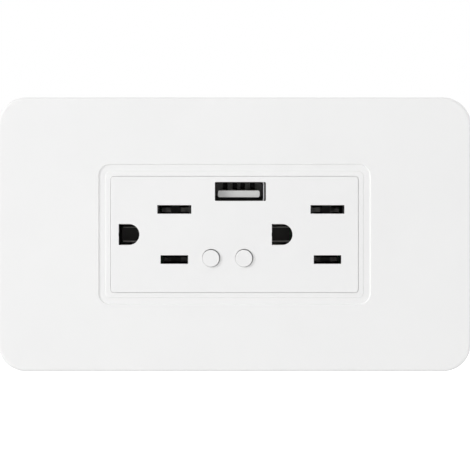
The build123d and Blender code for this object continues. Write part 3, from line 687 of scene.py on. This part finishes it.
class PaintShop:
    """Gives CAD nodes and new pieces their finishes, with one material for each finish."""

    def __init__(self, nodes: dict[str, bpy.types.Object]) -> None:
        """Keeps the CAD nodes that will be painted.

        Args:
            nodes: The CAD nodes by name.
        """
        self.nodes = nodes
        self.materials: dict[str, bpy.types.Material] = {}

    def material(self, finish: Finish) -> bpy.types.Material:
        """Finds a finish's material, and makes it the first time.

        Args:
            finish: The finish.

        Returns:
            Its material.
        """
        if finish.name not in self.materials:
            self.materials[finish.name] = finish.material()
        return self.materials[finish.name]

    def coat(self, piece: bpy.types.Object, finish: Finish) -> None:
        """Puts a finish all over a piece."""
        piece.data.materials.clear()
        piece.data.materials.append(self.material(finish))

    def paint(self, finish: Finish, names: Iterable[str]) -> None:
        """Puts a finish on CAD nodes.

        Args:
            finish: The finish.
            names: The nodes' names.
        """
        for name in names:
            self.coat(self.nodes[name], finish)
            log.info("%s takes %s", name, finish.name)


def make_piece(name: str, mesh: bmesh.types.BMesh, smooth_below: float = 40.0) -> bpy.types.Object:
    """Turns a bmesh into an object at the origin.

    Args:
        name: The piece's name.
        mesh: Its shape in the outlet's frame, in metres. It is freed.
        smooth_below: Edges that turn by less than this many degrees are shaded smooth.

    Returns:
        The new object.
    """
    bmesh.ops.remove_doubles(mesh, verts=mesh.verts, dist=WELD)
    bmesh.ops.recalc_face_normals(mesh, faces=mesh.faces)
    data = bpy.data.meshes.new(name)
    mesh.to_mesh(data)
    mesh.free()
    data.shade_smooth()
    data.set_sharp_from_angle(angle=math.radians(smooth_below))
    piece = bpy.data.objects.new(name, data)
    bpy.context.scene.collection.objects.link(piece)
    return piece


# A screw head's rim, from its crown to its underside, in shares of the head's radius and height.
HEAD_RIM = ((0.93, 0.78), (0.98, 0.62), (1.0, 0.42), (1.0, 0.08), (0.97, 0.0))
# One turn of a thread, from root to root, in shares of the thread's depth and pitch.
THREAD_RIDGE = ((0.0, 0.0), (0.0, 0.3), (1.0, 0.58), (1.0, 0.7), (0.0, 1.0))


@dataclass(frozen=True)
class Screw:
    """One screw along Z: its head stands on the origin and its shank hangs below.

    Attributes:
        head_r: Radius of the head.
        head_h: Height of the head.
        shank_r: Radius over the thread.
        length: Length under the head.
        pitch: One turn of the thread.
        recess: The drive in the head.
        sides: Steps round the head.
        crown: How far the head falls from its middle to its rim, as a share of its height.
        crown_r: Where the crown ends and the rim's round edge starts, as a share of the radius.
        crown_steps: Steps from the middle to there.
        bar_half: Half the width of the drive's bars, as a share of the head's radius.
        wing_reach: How far a cross's bars reach from the middle, likewise.
        slit_reach: How far a slot reaches from the middle, likewise.
        drive_low: Height down to which a slot cuts the head's side, as a share of the head's.
        drive_depth: Height of the drive's floor, likewise.
        drive_taper: Size of that floor, as a share of the drive's mouth.
        thread_depth: Depth of the thread.
        turn_steps: Steps in one turn of the thread.
        tip: Length of the tapered end.
        tip_width: Width of the end's face, as a share of the shank's.
        neck: Height of the plain stretch between thread and head, which also widens by so much.
        lead: How many turns below its end the thread starts; what stands over is cut off.
        spare: How many turns of thread are made beyond the shank's length.
    """

    head_r: float
    head_h: float
    shank_r: float
    length: float
    pitch: float
    recess: Recess
    sides: int = 48
    crown: float = 0.16
    crown_r: float = 0.84
    crown_steps: int = 5
    bar_half: float = 0.15
    wing_reach: float = 0.58
    slit_reach: float = 1.06
    drive_low: float = 0.4
    drive_depth: float = 0.34
    drive_taper: float = 0.86
    thread_depth: float = 0.18
    turn_steps: int = 24
    tip: float = 1.2
    tip_width: float = 0.72
    neck: float = 0.12
    lead: float = 1.1
    spare: int = 2

    def bars(self) -> list[Pair]:
        """Measures the bars of the recess.

        Returns:
            Half of each bar's size along X and along Y, in millimetres.
        """
        wing = (self.bar_half * self.head_r, self.wing_reach * self.head_r)
        slit = (self.slit_reach * self.head_r, self.bar_half * self.head_r)
        layouts = {Recess.CROSS: [wing, wing[::-1]], Recess.COMBINED: [wing, slit]}
        return layouts[self.recess]

    def is_top(self, point: Vector) -> bool:
        """Says whether a point lies so high on the head that the drive is cut there."""
        return point.z > self.drive_low * self.head_h * MM

    def inside(self, point: Vector) -> bool:
        """Says whether a point lies on the head's top and in the recess."""
        within = any(abs(point.x) < x * MM and abs(point.y) < y * MM for x, y in self.bars())
        return within and self.is_top(point)

    def outline(self) -> list[Pair]:
        """Draws the head's half section, from the middle of its top to its neck.

        Returns:
            Radius and height of each point, in millimetres.
        """
        rings = [self.crown_r * step / self.crown_steps for step in range(self.crown_steps + 1)]
        shares = [(ring, 1.0 - self.crown * ring**2) for ring in rings]
        outside = [(r * self.head_r, z * self.head_h) for r, z in (*shares, *HEAD_RIM)]
        return [*outside, (self.shank_r + self.neck, 0.0)]

    def turn(
        self,
        mesh: bmesh.types.BMesh,
        section: list[Pair],
        turns: int,
        steps: int,
        rise: float = 0.0,
    ) -> None:
        """Turns a half section round Z and welds the seams.

        Args:
            mesh: Where the shape goes.
            section: Radius and height of each point, in millimetres.
            turns: How many times it goes round.
            steps: Steps in one turn.
            rise: How far it climbs in one turn, in millimetres.
        """
        before = set(mesh.verts)
        points = [mesh.verts.new((r * MM, 0, z * MM)) for r, z in section]
        edges = [mesh.edges.new(pair) for pair in zip(points, points[1:])]
        bmesh.ops.spin(
            mesh,
            geom=[*points, *edges],
            axis=(0, 0, 1),
            cent=(0, 0, 0),
            dvec=(0, 0, rise * MM / steps),
            angle=2 * math.pi * turns,
            steps=turns * steps,
            use_merge=rise == 0.0,
        )
        turned = [vert for vert in mesh.verts if vert not in before]
        bmesh.ops.remove_doubles(mesh, verts=turned, dist=WELD)

    def add_shank(self, mesh: bmesh.types.BMesh) -> None:
        """Adds the shank with its thread and a tapered end, open at the top.

        Args:
            mesh: Where the shank goes, still empty.
        """
        root = self.shank_r - self.thread_depth
        start = -self.length - self.lead * self.pitch
        section = [(root + r * self.thread_depth, start + z * self.pitch) for r, z in THREAD_RIDGE]
        turns = math.ceil(self.length / self.pitch) + self.spare
        self.turn(mesh, section, turns, self.turn_steps, self.pitch)
        for height, is_upper in ((-self.neck, True), (-self.length, False)):
            bmesh.ops.bisect_plane(
                mesh,
                geom=[*mesh.verts, *mesh.edges, *mesh.faces],
                dist=CUT,
                plane_co=(0, 0, height * MM),
                plane_no=(0, 0, 1),
                clear_outer=is_upper,
                clear_inner=not is_upper,
            )
        middle = -self.length * MM / 2
        end = [edge for edge in mesh.edges if edge.is_boundary and edge.verts[0].co.z < middle]
        bmesh.ops.edgeloop_fill(mesh, edges=end)
        for vert in mesh.verts:
            share = 1.0 - (vert.co.z / MM + self.length) / self.tip
            if share > 0:
                vert.co.xy *= 1.0 - (1.0 - self.tip_width) * share

    def score(self, mesh: bmesh.types.BMesh, axis: Triple, distance: float) -> None:
        """Cuts the head's top along a plane, where a side of the recess will stand.

        Args:
            mesh: The mesh with the head in it.
            axis: The direction across the plane.
            distance: How far from the screw's middle the plane lies, in millimetres.
        """
        faces = [face for face in mesh.faces if self.is_top(face.calc_center_median())]
        edges = [edge for face in faces for edge in face.edges]
        verts = [vert for face in faces for vert in face.verts]
        bmesh.ops.bisect_plane(
            mesh,
            geom=list(dict.fromkeys((*faces, *edges, *verts))),
            dist=CUT,
            plane_co=Vector(axis) * distance * MM,
            plane_no=axis,
        )

    def add_head(self, mesh: bmesh.types.BMesh) -> None:
        """Adds the head: a crowned disc with its recess pressed in, open at the neck.

        Args:
            mesh: Where the head goes.
        """
        self.turn(mesh, self.outline(), 1, self.sides)
        for x, y in self.bars():
            for axis, limit in (((1, 0, 0), x), ((0, 1, 0), y)):
                self.score(mesh, axis, -limit)
                self.score(mesh, axis, limit)
        sunk = [face for face in mesh.faces if self.inside(face.calc_center_median())]
        floor = bmesh.ops.extrude_face_region(mesh, geom=sunk)["geom"]
        bmesh.ops.delete(mesh, geom=sunk, context="FACES")
        for vert in (part for part in floor if isinstance(part, bmesh.types.BMVert)):
            vert.co.z = self.drive_depth * self.head_h * MM
            vert.co.xy *= self.drive_taper

    def mesh(self, place: Matrix) -> bmesh.types.BMesh:
        """Models the screw as one closed shape.

        Args:
            place: Where the underside of its head goes, with Z out of the head.

        Returns:
            The screw in the outlet's frame.
        """
        mesh = bmesh.new()
        self.add_shank(mesh)
        self.add_head(mesh)
        bmesh.ops.bridge_loops(mesh, edges=[edge for edge in mesh.edges if edge.is_boundary])
        bmesh.ops.transform(mesh, matrix=place, verts=mesh.verts)
        return mesh


@dataclass
class ScrewSet:
    """Screws that share one CAD node, as one piece that stands for it.

    Attributes:
        node: The CAD node.
        slot: A material slot's name; not used.
        screw: The screw's sizes.
        finish: Its finish.
        places: Where each head's underside goes.
        smooth_below: Edges that turn by less than this many degrees are shaded smooth.
    """

    node: str
    slot: str
    screw: Screw
    finish: Finish
    places: list[Matrix]
    smooth_below: float = 32.0

    def build(self, shop: PaintShop) -> bpy.types.Object:
        """Models the set and puts it in place of its node.

        Args:
            shop: Where the finish comes from.

        Returns:
            The new piece.
        """
        whole = bpy.data.meshes.new(self.node)
        mesh = bmesh.new()
        for place in self.places:
            one = self.screw.mesh(place)
            one.to_mesh(whole)
            one.free()
            mesh.from_mesh(whole)
        bpy.data.meshes.remove(whole)
        piece = make_piece(f"{self.node}_turned", mesh, self.smooth_below)
        shop.coat(piece, self.finish)
        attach(piece, OUTLET)
        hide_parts(self.node)
        log.info("%s: %d screws with a %s recess", piece.name, len(self.places), self.screw.recess.value)
        return piece


def seat(x: float, y: float, z: float, out: Triple, twist: float) -> Matrix:
    """Makes the place of a screw.

    Args:
        x: The head's underside along X in metres.
        y: The same along Y.
        z: The same along Z.
        out: The direction out of the head.
        twist: How far the drive is turned, in degrees.

    Returns:
        The place, with Z out of the head.
    """
    turn = Vector(out).to_track_quat("Z", "Y").to_matrix().to_4x4()
    return Matrix.Translation((x, y, z)) @ turn @ Matrix.Rotation(math.radians(twist), 4, "Z")


def corner_seats(node: str, screw: Screw, out: int, twists: Iterable[float]) -> list[Matrix]:
    """Makes the places of four screws that stand in the corners of their node's box.

    Args:
        node: The CAD node of the four screws.
        screw: Their sizes.
        out: 1 where the heads look into the wall, -1 where they look into the room.
        twists: How far each drive is turned, in degrees.

    Returns:
        The places, with Z out of the heads.
    """
    low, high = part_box(node)
    inset = screw.head_r * MM
    outermost = high.y if out > 0 else low.y
    under = outermost - out * screw.head_h * MM
    corners = [(x, z) for x in (low.x + inset, high.x - inset) for z in (low.z + inset, high.z - inset)]
    return [seat(x, under, z, (0, out, 0), twist) for (x, z), twist in zip(corners, twists)]


@dataclass
class Front:
    """What the room sees: plate, face, buttons and USB port.

    Attributes:
        block: Length of the solid rear of the port's insulator, in millimetres.
        foot: Height of the foot of the port's block, where its painted shade is darkest, in millimetres.
    """

    block: float = 2.5
    foot: float = 1.2

    def dress(self, shop: PaintShop) -> None:
        """Paints the front's nodes.

        Args:
            shop: Where the finishes come from.
        """
        shop.paint(PLATE_WHITE, ["wall_plate"])
        shop.paint(FACE_WHITE, ["face_cover"])
        shop.paint(BUTTON_WHITE, ["button_left", "button_right"])
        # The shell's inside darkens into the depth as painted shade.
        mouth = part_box("usb_shell")[0].y / MM
        shop.paint(replace(PORT_STEEL, start=mouth), ["usb_shell"])
        tongue_low, tongue_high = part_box("usb_tongue")
        # The insulator's block takes painted shade, from its start behind the tongue and darkest at its
        # foot.
        insulator = replace(
            TONGUE_WHITE,
            start=tongue_high.y / MM - self.block - TONGUE_WHITE.reach,
            foot=tongue_low.z / MM + self.foot,
        )
        shop.paint(insulator, ["usb_tongue"])
        # The port's contacts are near black as painted shade.
        shop.paint(PORT_SPRING, ["usb_contacts"])


@dataclass
class Contacts:
    """The insulating cores and the folded contacts in them.

    Attributes:
        flare: Length of the contacts' flared mouths, which plugs rub, in millimetres.
        fade: How far behind the cores the contacts' painted shade turns bright, in millimetres.
        neutral_wear_and_glint: How bright the neutral contact's patches of wear and painted glints are,
            as a share.
        left_wear_and_glint: The same for the left hot contact.
        right_wear_and_glint: The same for the right hot contact.
        earth_glint_heights: Heights of the painted highlight streaks in the earth contact, in
            millimetres.
    """

    flare: float = 3.0
    fade: float = 4.0
    neutral_wear_and_glint: float = 0.45
    left_wear_and_glint: float = 0.2
    right_wear_and_glint: float = 0.35
    earth_glint_heights: Pair = (2.0, -1.8)

    @staticmethod
    def middle(node: str) -> float:
        """Finds the middle of a node along X.

        Args:
            node: The node's name.

        Returns:
            The place in millimetres.
        """
        low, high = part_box(node)
        return (low.x + high.x) / 2 / MM

    def dress(self, shop: PaintShop) -> None:
        """Paints the contacts' nodes.

        Args:
            shop: Where the finishes come from.
        """
        shop.paint(CORE_BLACK, ["socket_core_left", "socket_core_right"])
        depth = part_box("socket_core_left")[1].y / MM
        columns = tuple(self.middle(node) for node in ("hot_contact_left", "hot_contact_right"))
        # The springs' dark main tones are painted shade in the cores' slots.
        springs = {
            "neutral_bus": replace(CONTACT_TIN, wear_and_glint=self.neutral_wear_and_glint),
            "ground_bus": replace(EARTH_BRONZE, streaks=self.earth_glint_heights),
            "hot_contact_left": replace(TINNED_BRONZE, wear_and_glint=self.left_wear_and_glint),
            "hot_contact_right": replace(TINNED_BRONZE, wear_and_glint=self.right_wear_and_glint),
        }
        for node, finish in springs.items():
            rubbed = replace(
                finish,
                name=f"{node}_{finish.name}",
                start=depth,
                reach=self.fade,
                mouth=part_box(node)[0].y / MM,
                rub=self.flare,
                columns=columns,
            )
            shop.paint(rubbed, [node])
        shop.paint(TERMINAL_BRASS, ["line_terminal"])


@dataclass
class RearCase:
    """The strap, the frame on it, the housing behind and the screws that hold them.

    Attributes:
        case_screw: The screws from the housing through the strap into the face.
        frame_screw: The screws that hold the frame on the strap.
        twists: How far the drives are turned, in degrees.
    """

    case_screw: Screw = field(default_factory=lambda: Screw(2.7, 1.9, 1.45, 8.4, 1.1, Recess.CROSS))
    frame_screw: Screw = field(default_factory=lambda: Screw(3.0, 1.6, 1.65, 2.9, 0.8, Recess.CROSS))
    twists: tuple[float, ...] = (12.0, 57.0, 31.0, 78.0)

    def build(self, shop: PaintShop) -> None:
        """Models the case's screws and the frame's.

        Args:
            shop: Where the finishes come from.
        """
        places = corner_seats("case_screws", self.case_screw, 1, self.twists)
        ScrewSet("case_screws", "screw_steel", self.case_screw, ZINC_SCREW, places).build(shop)
        low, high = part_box("frame_screws")
        inset = self.frame_screw.head_r * MM
        under = low.y + self.frame_screw.head_h * MM
        ends = (low.x + inset, high.x - inset)
        places = [seat(x, under, 0.0, (0, -1, 0), twist) for x, twist in zip(ends, self.twists)]
        ScrewSet("frame_screws", "screw_steel", self.frame_screw, ZINC_SCREW, places).build(shop)

    def dress(self, shop: PaintShop) -> None:
        """Paints the case's nodes.

        Args:
            shop: Where the finishes come from.
        """
        shop.paint(ZINC_SHEET, ["mounting_strap", "clamp_plates"])
        shop.paint(FRAME_WHITE, ["snap_frame"])
        shop.paint(HOUSING_GREY, ["rear_housing"])


@dataclass
class Terminals:
    """The three wire terminals in the housing's bays.

    Attributes:
        screw: The terminal screws.
        twists: How far the drives are turned, in degrees.
    """

    screw: Screw = field(default_factory=lambda: Screw(3.6, 2.4, 1.75, 5.4, 0.8, Recess.COMBINED))
    twists: tuple[float, ...] = (24.0, -38.0, 65.0)

    def build(self, shop: PaintShop) -> None:
        """Models the terminal screws.

        Args:
            shop: Where the finishes come from.
        """
        rows = (
            ("neutral_screw", "neutral_nickel", NICKEL_SCREW, Vector((0, 0, 1))),
            ("line_screw", "line_brass", BRASS_SCREW, Vector((0, 0, -1))),
            ("ground_screw", "ground_green", GREEN_SCREW, Vector((-1, 0, 0))),
        )
        for (node, slot, finish, out), twist in zip(rows, self.twists):
            low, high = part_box(node)
            middle = (low + high) / 2
            reach = (high - low).dot(Vector(map(abs, out))) / 2
            under = middle + out * (reach - self.screw.head_h * MM)
            place = seat(*under, tuple(out), twist)
            ScrewSet(node, slot, self.screw, finish, [place]).build(shop)


@dataclass
class Electronics:
    """The boards inside the housing and what they carry.

    Attributes:
        screw: The screws that hold the main board.
        twists: How far the drives are turned, in degrees.
    """

    screw: Screw = field(default_factory=lambda: Screw(1.8, 1.1, 1.0, 6.0, 0.6, Recess.CROSS, sides=32))
    twists: tuple[float, ...] = (5.0, 44.0, 80.0, 20.0)

    def build(self, shop: PaintShop) -> None:
        """Models the board's screws."""
        places = corner_seats("board_screws", self.screw, -1, self.twists)
        ScrewSet("board_screws", "screw_steel", self.screw, ZINC_SCREW, places).build(shop)

    def dress(self, shop: PaintShop) -> None:
        """Paints the electronics' nodes.

        Args:
            shop: Where the finishes come from.
        """
        shop.paint(BOARD_GREEN, ["main_board"])
        shop.paint(BOARD_BLACK, ["control_board"])
        shop.paint(BOARD_BLUE, ["wifi_board"])
        shop.paint(SHIELD_TIN, ["wifi_shield"])
        shop.paint(CORE_BLACK, ["header_strip"])
        shop.paint(GOLD_FLASH, ["header_pins"])
        for side in ("left", "right"):
            shop.paint(SWITCH_BLACK, [f"tact_switch_{side}", f"switch_plunger_{side}"])
        shop.paint(RELAY_BLACK, ["relay_upper", "relay_lower"])
        shop.paint(FERRITE_GREY, ["transformer_core"])
        shop.paint(COIL_TAPE, ["transformer_coil"])
        shop.paint(CAN_SLEEVE, ["bulk_capacitor", "output_capacitor"])
        shop.paint(FILM_YELLOW, ["film_capacitor"])
        shop.paint(FUSE_BROWN, ["fuse"])
        shop.paint(DIPPED_BLUE, ["varistor"])
        shop.paint(COPPER_TURNS, ["inductor"])
        shop.paint(EPOXY_BLACK, ["bridge_rectifier"])


@dataclass(frozen=True)
class Lamp:
    """A square soft lamp that faces the outlet.

    Attributes:
        name: The lamp's name.
        place: Where it hangs, in millimetres.
        size: Its width in millimetres.
        power: Its power in watts.
    """

    name: str
    place: Triple
    size: float
    power: float

    def hang(self) -> None:
        """Adds the lamp to the scene."""
        data = bpy.data.lights.new(self.name, "AREA")
        data.size = self.size * MM
        data.energy = self.power
        lamp = bpy.data.objects.new(self.name, data)
        lamp.location = Vector(self.place) * MM
        lamp.rotation_euler = Vector(self.place).to_track_quat("Z", "Y").to_euler()
        bpy.context.scene.collection.objects.link(lamp)
        log.info("%s lamp of %.1f W", self.name, self.power)


@dataclass
class Studio:
    """Camera, lamps, floor and world: the outlet straight from the front before plain white.

    Attributes:
        distance: Camera to the plate's front in millimetres.
        view_w: Width of the picture at the plate's front.
        aim_x: The picture's middle, to the right of the plate's.
        aim_z: The picture's middle, above the plate's.
        sensor: Width of the camera's sensor.
        floor_drop: The floor's depth under the plate.
        floor_half: Half of the floor's width.
        floor_tone: How pale the floor is.
        floor_rough: Its roughness.
        floor_shine: Its specular level.
        fade_start: Where the floor starts to turn plain white, from the outlet.
        fade_end: Where it is plain white.
        near_glow: How far the floor is lifted towards white close to the outlet.
        fill: Strength of the even light from all round.
        lamps: The lamps.
    """

    distance: float = 700.0
    view_w: float = 119.0
    aim_x: float = 0.13
    aim_z: float = -0.13
    sensor: float = 36.0
    floor_drop: float = 95.0
    floor_half: float = 6000.0
    floor_tone: float = 0.85
    floor_rough: float = 0.8
    floor_shine: float = 0.1
    fade_start: float = 200.0
    fade_end: float = 480.0
    near_glow: float = 0.12
    fill: float = 0.608
    lamps: tuple[Lamp, ...] = (
        Lamp("key", (-1000.0, -800.0, 300.0), 450.0, 7.0),
        Lamp("overhead", (-150.0, -500.0, 1100.0), 800.0, 1.2),
        Lamp("right_wing", (750.0, -80.0, -60.0), 300.0, 1.1),
        Lamp("rear_fill", (900.0, 1300.0, 900.0), 900.0, 6.5),
    )

    def add_camera(self) -> None:
        """Sets the camera square before the plate."""
        data = bpy.data.cameras.new("camera")
        data.sensor_width = self.sensor
        data.lens = self.sensor * self.distance / self.view_w
        camera = bpy.data.objects.new("camera", data)
        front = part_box("wall_plate")[0].y
        camera.location = (self.aim_x * MM, front - self.distance * MM, self.aim_z * MM)
        camera.rotation_euler = (math.radians(90), 0, 0)
        bpy.context.scene.collection.objects.link(camera)
        bpy.context.scene.camera = camera

    @staticmethod
    def seen(tree: bpy.types.NodeTree) -> Socket:
        """Finds the rays that show a background: straight from the camera, mirrored or through glass.

        Args:
            tree: Where the nodes go.

        Returns:
            1 for such rays and 0 for the rest.
        """
        path = tree.nodes.new("ShaderNodeLightPath")
        total = path.outputs["Is Camera Ray"]
        for kind in ("Is Glossy Ray", "Is Transmission Ray"):
            most = tree.nodes.new("ShaderNodeMath")
            most.operation = "MAXIMUM"
            tree.links.new(total, most.inputs[0])
            tree.links.new(path.outputs[kind], most.inputs[1])
            total = most.outputs["Value"]
        return total

    def set_world(self) -> None:
        """Fills the room with even light that shows as plain white."""
        world = bpy.data.worlds.new("white_room")
        world.use_nodes = True
        bpy.context.scene.world = world
        tree = world.node_tree
        strength = tree.nodes.new("ShaderNodeMapRange")
        strength.inputs["To Min"].default_value = self.fill
        strength.inputs["To Max"].default_value = 1.0
        tree.links.new(self.seen(tree), strength.inputs["Value"])
        background = tree.nodes["Background"]
        background.inputs["Color"].default_value = (1.0, 1.0, 1.0, 1.0)
        tree.links.new(strength.outputs["Result"], background.inputs["Strength"])

    def floor_material(self) -> bpy.types.Material:
        """Makes the floor's finish: pale, plain white far away, and clear when seen from below.

        Returns:
            The new material.
        """
        sheet = NodeSheet("floor_white")
        shader = sheet.shader
        tone = self.floor_tone
        shader.inputs["Base Color"].default_value = (tone, tone, tone, 1.0)
        shader.inputs["Roughness"].default_value = self.floor_rough
        shader.inputs["Specular IOR Level"].default_value = self.floor_shine
        away = sheet.add("ShaderNodeVectorMath", operation="LENGTH")
        sheet.link(sheet.place, away.inputs[0])
        limits = (self.fade_start * MM, self.fade_end * MM)
        fade = sheet.ramp(away.outputs["Value"], limits, (self.near_glow, 1.0))
        glow = sheet.add("ShaderNodeEmission")
        sheet.link(sheet.join(fade, self.seen(sheet.tree), "MULTIPLY"), glow.inputs["Strength"])
        both = sheet.add("ShaderNodeAddShader")
        sheet.link(shader.outputs["BSDF"], both.inputs[0])
        sheet.link(glow.outputs["Emission"], both.inputs[1])
        below = sheet.add("ShaderNodeNewGeometry").outputs["Backfacing"]
        clear = sheet.add("ShaderNodeBsdfTransparent").outputs["BSDF"]
        side = sheet.add("ShaderNodeMixShader")
        sheet.link(below, side.inputs["Fac"])
        sheet.link(both.outputs["Shader"], side.inputs[1])
        sheet.link(clear, side.inputs[2])
        sheet.link(side.outputs["Shader"], sheet.tree.nodes["Material Output"].inputs["Surface"])
        return sheet.material

    def add_floor(self) -> None:
        """Lays a wide pale floor under the outlet, which keeps its shadow."""
        mesh = bmesh.new()
        bmesh.ops.create_grid(mesh, x_segments=1, y_segments=1, size=self.floor_half * MM)
        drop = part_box("wall_plate")[0].z - self.floor_drop * MM
        bmesh.ops.translate(mesh, verts=mesh.verts, vec=(0, 0, drop))
        floor = make_piece("floor", mesh)
        floor.data.materials.append(self.floor_material())

    def build(self) -> None:
        """Sets up the whole studio."""
        bpy.context.scene.view_settings.view_transform = "Standard"
        self.add_camera()
        self.set_world()
        self.add_floor()
        for lamp in self.lamps:
            lamp.hang()


def main() -> None:
    """Dresses the outlet and sets up its studio."""
    logging.basicConfig(level=logging.INFO, format="%(name)s: %(message)s")
    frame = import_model()
    shop = PaintShop(frame["nodes"])
    case, terminals, electronics = RearCase(), Terminals(), Electronics()
    for assembly in (case, terminals, electronics):
        assembly.build(shop)
    for assembly in (Front(), Contacts(), case, electronics):
        assembly.dress(shop)
    Studio().build()


if __name__ == "__main__":
    main()
